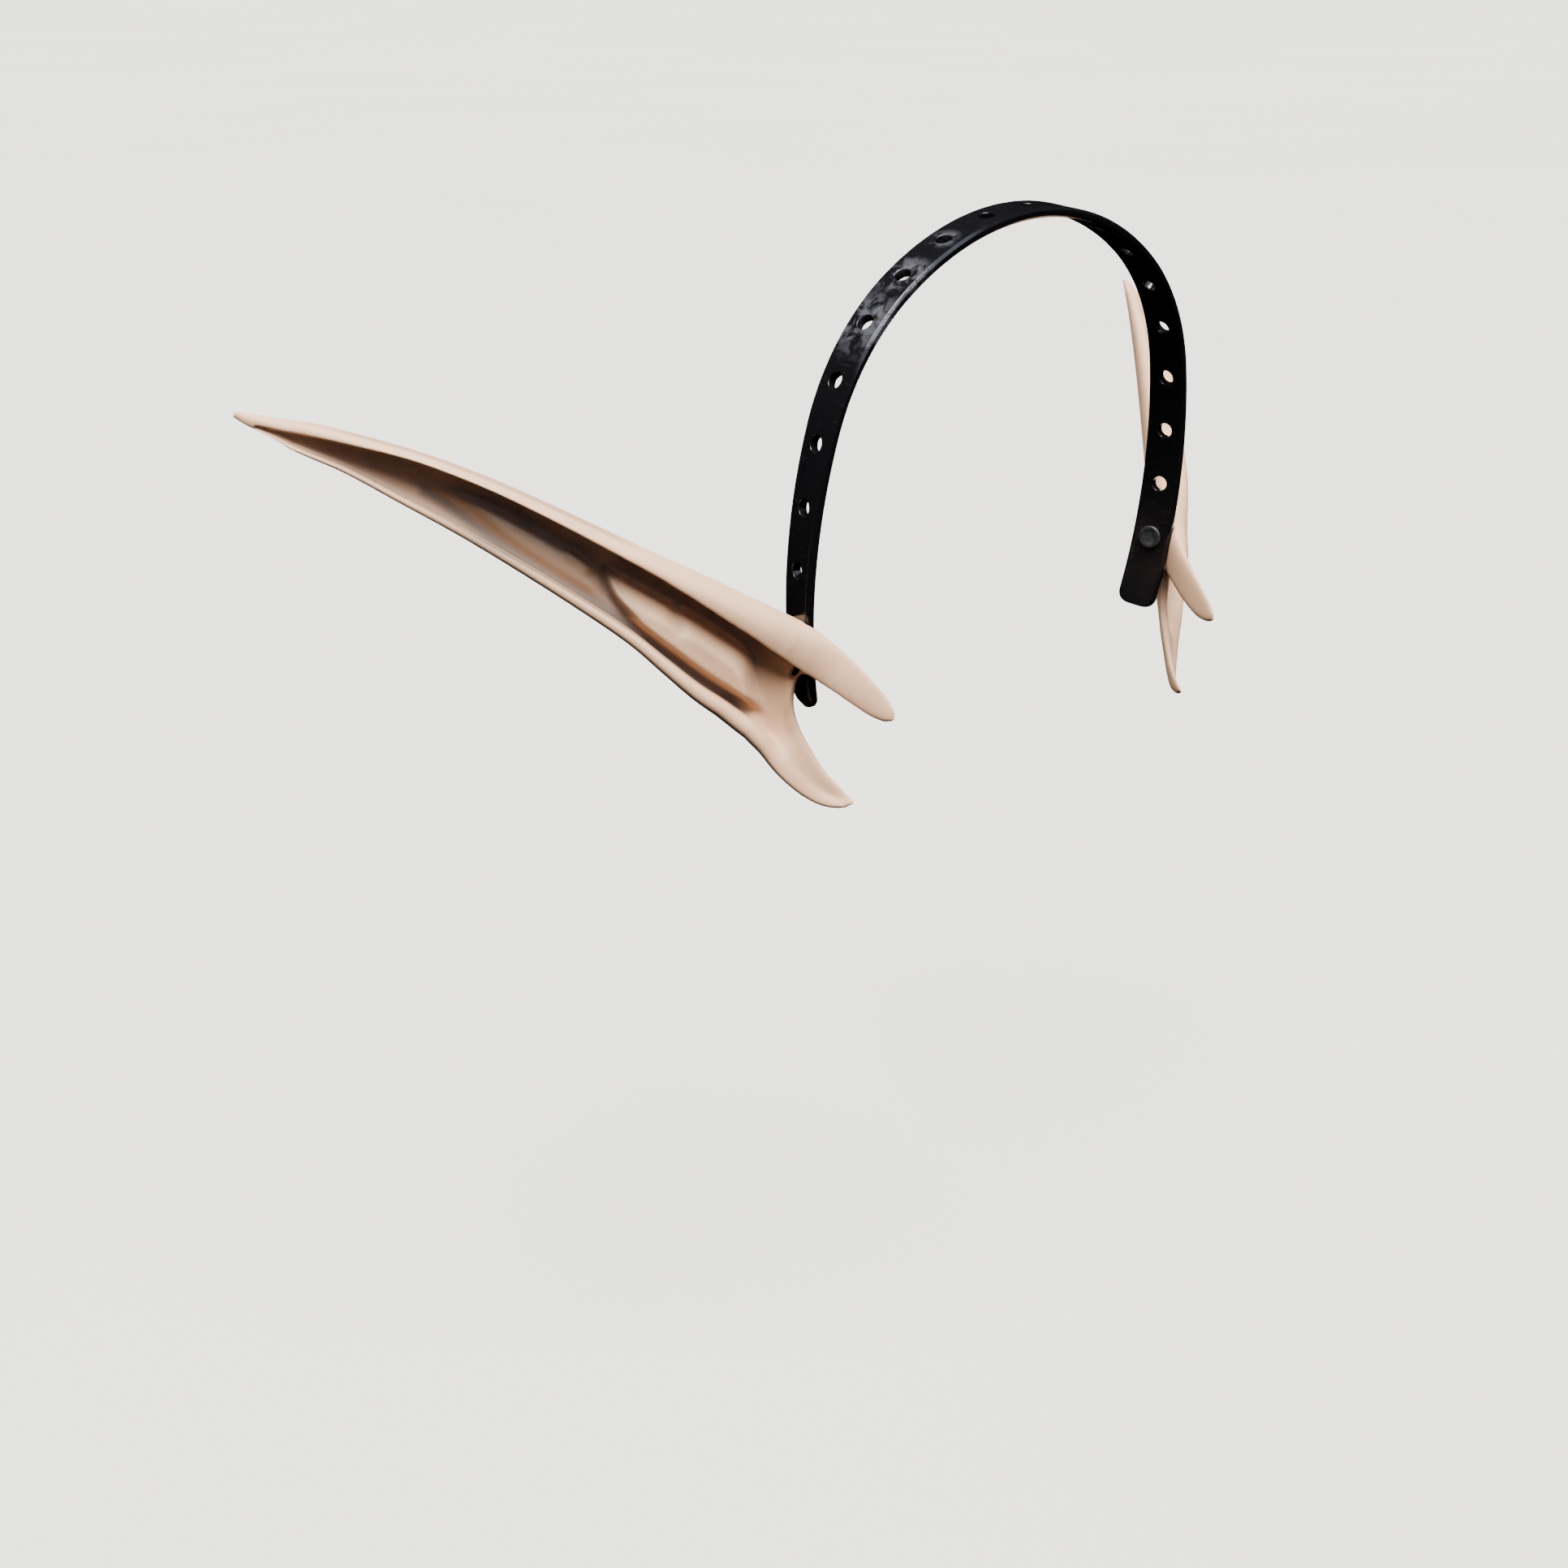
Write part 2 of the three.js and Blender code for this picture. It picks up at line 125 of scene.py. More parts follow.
NOTCH_SECTIONS = (
    (-1.1, -0.69, 0.24),
    (-1, -0.672, 0.17),
    (-0.965, -0.663, 0.13),
    (-0.92, -0.65, 0.09),
    (-0.81, -0.62, 0.05),
    (-0.67, -0.57, 0.045),
    (-0.5, -0.47, 0.052),
    (-0.33, -0.345, 0.062),
    (-0.22, -0.215, 0.062),
    (-0.17, -0.09, 0.05),
    (-0.157, -0.04, 0.04),
)

# Mounds of the wall inside the trough: their lower and upper bounds at places along the ear,
# how far they stand out, and how wide their lower and upper slopes are
MOUND_COLUMNS = ("at", "low", "high")
MOUNDS = (
    {
        "rows": (
            (-6, -14.2, -13.8),
            (3, -13.4, -5.6),
            (10, -12.8, 1.6),
            (19, -11.4, 4.2),
            (28, -9.4, 5.4),
            (38, -7.1, 6),
            (44, -4.8, 6.4),
            (49.5, -2, 6.8),
            (53, 1.2, 6.6),
            (56.5, 4.2, 5.2),
        ),
        "proud": 5.8,
        "foot": 4.2,
        "head": 7.5,
    },
    {
        "rows": (
            (50, -4.8, -3),
            (54, -4.2, 1.4),
            (58, -4, 4),
            (67, -2.9, 6.6),
            (77, -1.4, 8),
            (84, 0.2, 8.4),
            (91, 2.1, 8.4),
            (98, 3.3, 7.6),
            (107, 4.2, 5.2),
        ),
        "proud": 2.0,
        "foot": 3.8,
        "head": 4.4,
    },
)

# Smaller folds: lines of (place, height) with how wide each is and how far it stands out of the
# wall, or into it below zero
FOLDS = (
    {"line": ((64, 4.4), (61, 3.6), (58.5, 2.6)), "wide": 1.4, "proud": 1.3},
    {"line": ((33, 2.4), (31, 0.4), (29, -0.8)), "wide": 1.5, "proud": -1.0},
    {"line": ((-5, 0), (-5.5, -3), (-7.2, -7.8), (-11, -12.2)), "wide": 1.6, "proud": 1.1},
)

# Creases of the wall where shade is painted darker into the skin's colour, as lines of (place,
# height)
SHADED_CREASES = (
    ((1, -13.6), (10, -12.6), (19, -11.3), (28, -9.4), (38, -7.3), (44, -5.7), (52, -4.8),
     (58, -4.3)),
    ((58, -4.3), (67, -3.5), (77, -2.1), (84, -0.7), (91, 0.9), (98, 2.2), (105, 3.2)),
    ((44, -3.6), (49, -1.4), (52, 1.2), (54.5, 4)),
)
CREASE_SHADE_WIDTH = 2.7

# Strength of the painted shade under the lip and over the outer mound, beside 1 in the creases
LIP_PAINTED_SHADE = 0.62
MOUND_PAINTED_SHADE = 0.53

# Smooth fades, each by its start and its width: in millimetres, but depth in shares of the ear's
# reach, and facing and rising as parts of a normal
LIP_EDGE = (4.2, 2)
LIP_END = (BLADE_LENGTH - 3, 9)
NOTCH_EDGE = (3, 1.5)
NOTCH_START = (-3, 2)
# Fades of the painted shade: under the lip, deep in the trough, in the creases and over the outer
# mound
SHADE_UNDER_LIP = (-16, 9)
SHADE_DEPTH = (0.7, 0.32)
SHADE_RISING = (0.6, 0.3)
SHADE_START = (-4, 14)
SHADE_FACING = (-0.2, 0.3)
CREASE_SHADE_DEPTH = (0.82, 0.14)
CREASE_SHADE_START = (-1, 9)
MOUND_SHADE_DEPTH = (0.74, 0.2)
MOUND_SHADE_START = (46, 12)
MOUND_SHADE_END = (150, 30)

# Step between the places that points are matched to, and the least share of evening that counts
STATION_STEP = 0.5
LEAST_EVENING = 0.02

# Colours, in two shades where they vary
SKIN_SHADES = ((0.66, 0.402, 0.248), (0.71, 0.44, 0.274))
SPECK_COLOUR = (0.58, 0.37, 0.23)
SPECK_SHARE = 0.25
# Painted shade: a dark brown mixed into the skin where the trough, its creases and the outer mound
# lie in shade, and how much of it
PAINTED_SHADE_COLOUR = (0.125, 0.1, 0.088)
PAINTED_SHADE_SHARE = 0.92
BAND_SHADES = ((0.004, 0.004, 0.005), (0.05, 0.052, 0.062))
POST_SHADES = ((0.012, 0.012, 0.014), (0.025, 0.025, 0.028))
FLOOR_SHADES = ((0.6, 0.6, 0.59), (0.62, 0.62, 0.61))

# Wear round the band's holes: number of the hole, and the distances where it thins out and ends
WORN_HOLES = ((-4, 4, 13), (-3, 3, 10), (-2, 1.5, 6))

# Lights from a direction: name, direction, strength, angle, colour, and whether gloss mirrors them
SUNS = (
    ("key", (-0.24, -0.29, 0.926), 12, math.radians(38), (1.0, 0.965, 0.925), True),
    ("fill", (-0.1, -0.3, 0.95), 0.42, math.radians(160), (0.75, 0.88, 1.0), False),
    ("side", (0.55, -0.3, 0.78), 2.2, math.radians(60), (1.0, 0.98, 0.96), False),
    ("back", (0.05, 0.72, 0.69), 3.5, math.radians(80), (1.0, 0.98, 0.96), False),
)

# Softbox that shows in gloss alone
SHEEN_AT = (-130, -975, 845)
SHEEN_TARGET = (-40, 0, -40)
SHEEN_SIZE = 1500
SHEEN_POWER = 20
SHEEN_COLOUR = (0.72, 0.8, 1.0)

# Pale surrounding, about as bright as the floor, which lights nothing
SURROUNDING_COLOUR = (1, 0.985, 0.96, 1)
SURROUNDING_STRENGTH = 3

# Camera of the photograph
CAMERA_AT = (-526.6, -434.35, 73.6)
CAMERA_AZIMUTH = math.radians(-45)
CAMERA_ELEVATION = math.radians(19.371)
CAMERA_ROLL = math.radians(0.402)
CAMERA_LENS = 55.94
CAMERA_SENSOR = 36.0

FLOOR_DROP = 330.0
FLOOR_SIZE = 60000.0


def read_table(columns, rows, at, column):
    """One column of a table at a place between its rows, along a smooth curve."""
    places = [row[0] for row in rows]
    values = [row[columns.index(column)] for row in rows]
    last = len(rows) - 1
    i = next((k for k, place in enumerate(places) if place >= at), last) - 1
    i = min(max(i, 0), last - 1)

    def slope(a, b):
        return (values[b] - values[a]) / (places[b] - places[a])

    before = slope(max(i - 1, 0), i + 1)
    after = slope(i, min(i + 2, last))
    span = places[i + 1] - places[i]
    t = min(max((at - places[i]) / span, 0), 1)
    start = values[i] * (1 + 2 * t) * (1 - t) ** 2
    end = values[i + 1] * t * t * (3 - 2 * t)
    return start + end + span * (before * t * (1 - t) ** 2 - after * t * t * (1 - t))


def band_frame(arc):
    """Middle of the band's outer face at a length along it, and the directions along it,
    across it towards the back, and out of its outer face."""
    side = -1 if arc < 0 else 1
    bends = (
        (CROWN_RADIUS * CROWN_TURN, CROWN_RADIUS),
        (SHOULDER_RADIUS * SHOULDER_TURN, SHOULDER_RADIUS),
        (math.inf, SIDE_RADIUS),
    )
    left, angle, x, z = abs(arc), 0.0, 0.0, 0.0
    for length, radius in bends:
        step = min(left, length)
        turned = angle + step / radius
        x += radius * (math.sin(turned) - math.sin(angle))
        z -= radius * (math.cos(angle) - math.cos(turned))
        angle = turned
        left -= step
    share = (abs(arc) - TWIST_START) / (BAND_HALF_LENGTH - TWIST_START)
    twist = BAND_TWIST * min(max(share, 0), 1)
    flat_out = np.array((side * math.sin(angle), 0, math.cos(angle)))
    back = np.array((0.0, 1.0, 0.0))
    along = np.array((math.cos(angle), 0, -side * math.sin(angle)))
    across = back * math.cos(twist) - flat_out * math.sin(twist)
    outward = flat_out * math.cos(twist) + back * math.sin(twist)
    point = np.array((side * x, 0, z + BAND_THICKNESS))
    lean = np.array(Matrix.Rotation(BAND_LEAN, 3, "X"))
    return tuple(lean @ v for v in (point, along, across, outward))


SEAT_POINT, _, _, SEAT_OUTWARD = band_frame(-HOLES_PER_SIDE * HOLE_PITCH)


def ear_frame(place):
    """Directions of the right ear at a place along it: to the tip, up, and out of the trough."""
    bend = max(0, ROOT_BEND_START - place) / ROOT_BEND_RADIUS
    sweep = BLADE_SWEEP + bend * math.cos(BLADE_RISE)
    level = np.array((-math.cos(sweep), math.sin(sweep), 0))
    rise = np.array((0, 0, 1.0))
    along = level * math.cos(BLADE_RISE) + rise * math.sin(BLADE_RISE)
    up = rise * math.cos(BLADE_RISE) - level * math.sin(BLADE_RISE)
    forward = np.array((-math.sin(sweep), -math.cos(sweep), 0))
    return along, up, forward


def ear_spine(place):
    """Point of the right ear's spine at a place along it."""
    point = SEAT_POINT + np.array((-SEAT_OUT, SEAT_BACK, -SEAT_DOWN))
    bent = min(place, ROOT_BEND_START)
    steps = 12
    for k in range(steps):
        point = point + ear_frame(bent * (k + 0.5) / steps)[0] * bent / steps
    return point + ear_frame(ROOT_BEND_START)[0] * (place - bent)


def place_ring(place, flat):
    """A flat outline, forward and up, put into the ear at a place along it."""
    _, up, forward = ear_frame(place)
    return ear_spine(place) + np.outer(flat[:, 0], forward) + np.outer(flat[:, 1], up)


def line_distance(line, place, height):
    """Distance from points on the wall to a line of points."""
    best = np.full(np.shape(place), np.inf)
    for (s0, v0), (s1, v1) in zip(line, line[1:]):
        ds, dv = s1 - s0, v1 - v0
        t = ((place - s0) * ds + (height - v0) * dv) / (ds * ds + dv * dv)
        t = np.clip(t, 0, 1)
        best = np.minimum(best, np.hypot(place - s0 - t * ds, height - v0 - t * dv))
    return best


def ease(share):
    """Smooth step from 0 to 1."""
    share = np.clip(share, 0, 1)
    return share * share * (3 - 2 * share)


def above(value, start, width):
    """0 up to the start, rising smoothly to 1 over the width."""
    return ease((value - start) / width)


def below(value, start, width):
    """0 down to the start, rising smoothly to 1 over the width under it."""
    return ease((start - value) / width)


def fold_height(place, height):
    """How far the wall inside the trough stands out at a place and a height."""
    total = 0.0
    for mound in MOUNDS:
        rows = mound["rows"]
        if rows[0][0] < place < rows[-1][0]:
            low, high = (read_table(MOUND_COLUMNS, rows, place, name) for name in ("low", "high"))
            rising = ease((height - low) / mound["foot"])
            total += mound["proud"] * rising * ease((high - height) / mound["head"])
    for fold in FOLDS:
        away = line_distance(fold["line"], place, height) / fold["wide"]
        total += fold["proud"] * math.exp(-away * away)
    return total


def curve_points(steps, *corners):
    """Points along a Bezier curve, without its last one."""
    a, b, c, d = (np.array(corner, float) for corner in corners)
    t = (np.arange(steps * POINTS_PER_STEP) / (steps * POINTS_PER_STEP))[:, None]
    return a * (1 - t) ** 3 + 3 * b * t * (1 - t) ** 2 + 3 * c * t * t * (1 - t) + d * t**3


def ear_outline(at):
    """Outline of the ear across its length, forward and up."""

    def read(column):
        return read_table(EAR_COLUMNS, EAR_SECTIONS, at, column)

    place = at * (ROOT_LENGTH if at < 0 else BLADE_LENGTH)
    top, lip, low = (read(name) * EAR_HEIGHT for name in ("top", "lip", "low"))
    reach, roll = (read(name) * EAR_DEPTH for name in ("reach", "roll"))
    rim = read("rim") * RIM_RADIUS
    wall = min(EAR_WALL, reach * 0.42)
    edge = min(LIP_THICKNESS, reach * 0.3)
    rise, height = top - lip, top - low
    waist = top - height * 0.45
    flat_roof = lip + rise * 0.15
    full_roof = max(top - EAR_WALL, lip + rise * 0.2)
    roof = flat_roof + (full_roof - flat_roof) * read("roof")
    lobe = ease((-at - 0.12) / 0.3)
    valley = low + rim * (1.35 + 0.85 * lobe)
    groove = max(roll - rim * (1.55 - 1.2 * lobe), wall)
    foot = max(groove - rim * (0.7 - 0.25 * lobe), wall)
    lip_outside = (reach - edge * 0.3, lip)
    crest = (reach * 0.35, top)
    back = (0, waist)
    keel = (roll, low)
    bead = (roll + rim * 0.9, low + rim * (1.1 - 0.3 * lobe))
    gutter = (groove, valley)
    wall_inside = (wall, waist)
    lip_inside = (reach - edge, lip + rise * 0.12)
    outside = (
        (4, lip_outside, (reach + edge * 0.2 * (1 - lobe), lip + rise * (0.6 - 0.2 * lobe)),
         (reach * (0.78 - 0.22 * lobe), top - rise * 0.06 * lobe), crest),
        (4, crest, (reach * 0.06, top), (0, top - height * 0.16), back),
        (4, back, (0, low + height * 0.22), (roll - rim * 1.5, low), keel),
        (3, keel, (roll + rim * 0.75, low), (roll + rim * 1.1, low + rim * 0.6), bead),
        (3, bead, (roll + rim * 0.7, low + rim * (2 - 0.7 * lobe)),
         (groove + rim * (0.5 + 0.2 * lobe), valley - rim * 0.5 * lobe), gutter),
    )
    inside = (
        (5, gutter, (foot, valley + rim * 0.6 * lobe), (wall, low + height * 0.3), wall_inside),
        (5, wall_inside, (wall, roof - rise * 0.1), (wall + reach * 0.1, roof), lip_inside),
    )
    trough = np.vstack([curve_points(*curve) for curve in inside])
    depth = ease((reach - 2 * EAR_WALL) / 2)
    for point in trough:
        if point[0] < roll:
            point[0] += depth * fold_height(place, point[1])
    return np.vstack([*(curve_points(*curve) for curve in outside), trough, [lip_inside]])


def make_object(name, points, faces):
    """Object with a mesh from points in millimetres."""
    mesh = bpy.data.meshes.new(name)
    mesh.from_pydata((np.asarray(points) * MM).tolist(), [], faces)
    mesh.validate()
    obj = bpy.data.objects.new(name, mesh)
    bpy.context.scene.collection.objects.link(obj)
    return obj


def loft(name, rings):
    """Closed skin through rings of points, with its two ends filled in."""
    count = len(rings[0])
    faces = []
    for r in range(len(rings) - 1):
        for k in range(count):
            a, b = r * count + k, r * count + (k + 1) % count
            faces.append((a, b, b + count, a + count))
    faces.append(tuple(range(count))[::-1])
    base = (len(rings) - 1) * count
    faces.append(tuple(range(base, base + count)))
    return make_object(name, np.vstack(rings), faces)


def ring_rod(name, start, direction, profile, sides=48):
    """Turned piece along a direction, from a profile of (distance along it, radius)."""
    direction = direction / np.linalg.norm(direction)
    first = np.cross(direction, (0.0, 0.0, 1.0))
    first /= np.linalg.norm(first)
    second = np.cross(direction, first)
    angles = np.linspace(0, 2 * math.pi, sides, endpoint=False)
    circle = np.outer(np.cos(angles), first) + np.outer(np.sin(angles), second)
    return loft(name, [start + direction * along + circle * radius for along, radius in profile])


def apply_modifiers(obj):
    """Turns what the object's modifiers make into its own mesh."""
    graph = bpy.context.evaluated_depsgraph_get()
    mesh = bpy.data.meshes.new_from_object(obj.evaluated_get(graph))
    obj.modifiers.clear()
    obj.data = mesh


def face_outwards(obj):
    """Turns every face of a closed mesh the same way, outwards."""
    shape = bmesh.new()
    shape.from_mesh(obj.data)
    bmesh.ops.recalc_face_normals(shape, faces=shape.faces)
    shape.to_mesh(obj.data)
    shape.free()


def combine(obj, tool, operation):
    """Cuts or joins a tool into the object, and removes the tool."""
    modifier = obj.modifiers.new("combine", "BOOLEAN")
    modifier.operation = operation
    modifier.solver = "EXACT"
    modifier.object = tool
    apply_modifiers(obj)
    bpy.data.objects.remove(tool)


def band_solid(name, margin):
    """Plain band grown by a margin, for the room that an ear leaves for it."""
    half = BAND_WIDTH / 2 + margin
    inner = -BAND_THICKNESS - margin
    rings = []
    for arc in np.linspace(-BAND_HALF_LENGTH - margin, -100, 60):
        point, _, across, outward = band_frame(arc)
        corners = ((-half, inner), (half, inner), (half, margin), (-half, margin))
        rings.append(np.array([point + across * a + outward * o for a, o in corners]))
    return loft(name, rings)


def notch_cutter():
    """What is cut away between tongue and lobe."""
    back, front = -EAR_WALL, 0.8 * EAR_DEPTH
    rings = []
    for at in np.linspace(NOTCH_SECTIONS[0][0], NOTCH_SECTIONS[-1][0], NOTCH_STATIONS):
        low, top = (
            read_table(NOTCH_COLUMNS, NOTCH_SECTIONS, at, name) * EAR_HEIGHT
            for name in ("low", "top")
        )
        flat = np.array(((back, low), (front, low), (front, top), (back, top)))
        rings.append(place_ring(at * ROOT_LENGTH, flat))
    return loft("notch_cutter", rings)


def slot_cutter():
    """The small fixing slot through the wall beside the notch."""
    along, up, _ = ear_frame(SLOT_AT)
    through = np.cross(along, up)
    middle = ear_spine(SLOT_AT)
    rings = []
    for depth in (-2 * EAR_WALL, 2 * EAR_WALL):
        corners = ((-1, 0), (1, 0), (1, 1), (-1, 1))
        ring = [
            middle
            + along * side * SLOT_WIDTH / 2
            + up * (SLOT_FLOOR + end * SLOT_HEIGHT)
            + through * depth
            for side, end in corners
        ]
        rings.append(np.array(ring))
    return loft("slot_cutter", rings)


def right_ear():
    """The right ear as one closed soft-edged mesh."""
    rings = []
    for place in np.linspace(-ROOT_LENGTH, BLADE_LENGTH, EAR_STATIONS):
        at = place / (ROOT_LENGTH if place < 0 else BLADE_LENGTH)
        rings.append(place_ring(place, ear_outline(at)))
    ear = loft("ear_right_skin", rings)
    combine(ear, notch_cutter(), "DIFFERENCE")
    combine(ear, slot_cutter(), "DIFFERENCE")
    boss = ((0, BOSS_DIAMETER / 2), (BOSS_LENGTH, BOSS_DIAMETER / 2))
    combine(ear, ring_rod("boss", SEAT_POINT, SEAT_OUTWARD, boss), "UNION")
    combine(ear, band_solid("band_room", CLEARANCE), "DIFFERENCE")
    socket = ((-1, HOLE_DIAMETER / 2), (POST_DEPTH + CLEARANCE, HOLE_DIAMETER / 2))
    combine(ear, ring_rod("socket", SEAT_POINT, SEAT_OUTWARD, socket), "DIFFERENCE")
    remesh = ear.modifiers.new("remesh", "REMESH")
    remesh.mode = "VOXEL"
    remesh.voxel_size = VOXEL * MM
    smooth = ear.modifiers.new("smooth", "SMOOTH")
    smooth.factor = ROUNDING_FACTOR
    smooth.iterations = ROUNDING_PASSES
    apply_modifiers(ear)
    smooth_edges(ear)
    thin_out = ear.modifiers.new("thin_out", "DECIMATE")
    thin_out.ratio = min(1, EAR_TRIANGLES / (2 * len(ear.data.polygons)))
    apply_modifiers(ear)
    ear.data.shade_smooth()
    paint_shade(ear)
    return ear


def ear_places(ear):
    """For each point of the right ear: its place, its distance forward and its height, how much
    it faces forward and up, and the lip's height and the ear's reach there."""
    count = len(ear.data.vertices)
    points, normals = np.empty(count * 3), np.empty(count * 3)
    ear.data.vertices.foreach_get("co", points)
    ear.data.vertices.foreach_get("normal", normals)
    points, normals = points.reshape(-1, 3) / MM, normals.reshape(-1, 3)
    places = np.arange(-ROOT_LENGTH, BLADE_LENGTH, STATION_STEP)
    along, up, forward = (np.array(axis) for axis in zip(*(ear_frame(place) for place in places)))
    spine = np.array([ear_spine(place) for place in places])
    at = places / np.where(places < 0, ROOT_LENGTH, BLADE_LENGTH)
    lip, reach = (
        np.array([read_table(EAR_COLUMNS, EAR_SECTIONS, share, name) for share in at])
        for name in ("lip", "reach")
    )
    station = np.abs(points @ along.T - (along * spine).sum(1)).argmin(1)
    away = points - spine[station]
    return {
        "place": places[station],
        "forward": (away * forward[station]).sum(1),
        "height": (away * up[station]).sum(1),
        "facing": (normals * forward[station]).sum(1),
        "rising": (normals * up[station]).sum(1),
        "lip": lip[station] * EAR_HEIGHT,
        "reach": reach[station] * EAR_DEPTH,
    }


def smooth_edges(ear):
    """Evens out the edges of the lip and of the notch, and rounds them a little."""
    spots = ear_places(ear)
    from_lip = np.hypot(spots["height"] - spots["lip"], spots["reach"] - spots["forward"])
    edge = below(from_lip, *LIP_EDGE) * below(spots["place"], *LIP_END)
    at = spots["place"] / ROOT_LENGTH
    sides = [np.array([row[column] for row in NOTCH_SECTIONS]) for column in range(3)]
    low, top = (np.interp(at, sides[0], side) * EAR_HEIGHT for side in sides[1:])
    for side in (low, top):
        near = below(np.abs(spots["height"] - side), *NOTCH_EDGE)
        edge = np.maximum(edge, near * below(spots["place"], *NOTCH_START))
    group = ear.vertex_groups.new(name="edges")
    for index in np.flatnonzero(edge > LEAST_EVENING):
        group.add([int(index)], float(edge[index]), "REPLACE")
    smooth = ear.modifiers.new("even_edges", "SMOOTH")
    smooth.factor = EDGE_FACTOR
    smooth.iterations = EDGE_PASSES
    smooth.vertex_group = group.name
    apply_modifiers(ear)
    ear.vertex_groups.clear()


def paint_shade(ear):
    """Stores how much painted shade each point of the ear holds: darker in the creases, in the
    trough under the lip, and over the outer mound, where shade falls."""
    spots = ear_places(ear)
    place, height = spots["place"], spots["height"]
    depth = spots["forward"] / spots["reach"]
    under_lip = above(height - spots["lip"], *SHADE_UNDER_LIP)
    deep_shade = below(depth, *SHADE_DEPTH)
    deep_shade *= under_lip * below(spots["rising"], *SHADE_RISING) * above(place, *SHADE_START)
    crease_shade = np.zeros(len(place))
    for line in SHADED_CREASES:
        near = line_distance(line, place, height) / CREASE_SHADE_WIDTH
        crease_shade = np.maximum(crease_shade, np.exp(-near * near))
    crease_shade *= above(place, *CREASE_SHADE_START) * below(depth, *CREASE_SHADE_DEPTH)
    outer = below(depth, *MOUND_SHADE_DEPTH)
    outer *= above(place, *MOUND_SHADE_START) * below(place, *MOUND_SHADE_END)
    painted_shade = np.maximum(np.maximum(deep_shade * LIP_PAINTED_SHADE, crease_shade), outer * MOUND_PAINTED_SHADE)
    painted_shade *= above(spots["facing"], *SHADE_FACING)
    ear.data.attributes.new("painted_shade", "FLOAT", "POINT").data.foreach_set("value", painted_shade)


def mirrored(obj, name):
    """Mirror image of an object across the middle plane."""
    mesh = obj.data.copy()
    mesh.transform(Matrix.Scale(-1, 4, (1, 0, 0)))
    mesh.flip_normals()
    twin = bpy.data.objects.new(name, mesh)
    bpy.context.scene.collection.objects.link(twin)
    return twin


def cell_rings(centre):
    """Rings of (arc, across, out) from the border of a hole's stretch of band on the outer
    face, through the hole, to the border on the inner face."""
    half_long, half_wide = HOLE_PITCH / 2, BAND_WIDTH / 2 - EDGE_INSET
    along = np.linspace(-half_long, half_long, CELL_STEPS_ALONG + 1)
    across = np.linspace(-half_wide, half_wide, CELL_STEPS_ACROSS + 1)
    border = [(a, -half_wide) for a in along[:-1]]
    border += [(half_long, w) for w in across[:-1]]
    border += [(a, half_wide) for a in along[:0:-1]]
    border += [(-half_long, w) for w in across[:0:-1]]
    border = np.array(border)
    circle = border / np.linalg.norm(border, axis=1)[:, None]
    hole = HOLE_DIAMETER / 2
    rings = []

    def add(flat, out):
        rings.append(np.column_stack((flat[:, 0] + centre, flat[:, 1], np.full(len(flat), out))))

    spread = (1, 0.72, 0.5, 0.32, 0.18, 0.08)
    rounding = ((1, 0), (0.62, 0.08), (0.29, 0.29), (0.08, 0.62), (0, 1))
    for share in spread:
        add(circle * (hole + HOLE_EDGE) * (1 - share) + border * share, 0)
    for wider, deeper in rounding:
        add(circle * (hole + HOLE_EDGE * wider), -HOLE_EDGE * deeper)
    for wider, deeper in rounding[::-1]:
        add(circle * (hole + HOLE_EDGE * wider), HOLE_EDGE * deeper - BAND_THICKNESS)
    for share in spread[::-1]:
        add(circle * (hole + HOLE_EDGE) * (1 - share) + border * share, -BAND_THICKNESS)
    return rings


def side_profile(inset):
    """Profile of the band's long edge, (across, out), from the outer face to the inner one."""
    wide = BAND_WIDTH / 2 - inset
    shape = ((0, 0), (0.12, 0.03), (0.9, 0.8), (1, 1))
    outer = [(wide - EDGE_INSET * (1 - side), -EDGE_DROP * drop) for side, drop in shape]
    inner = [(across, -BAND_THICKNESS - out) for across, out in outer[::-1]]
    return np.array(outer + inner)


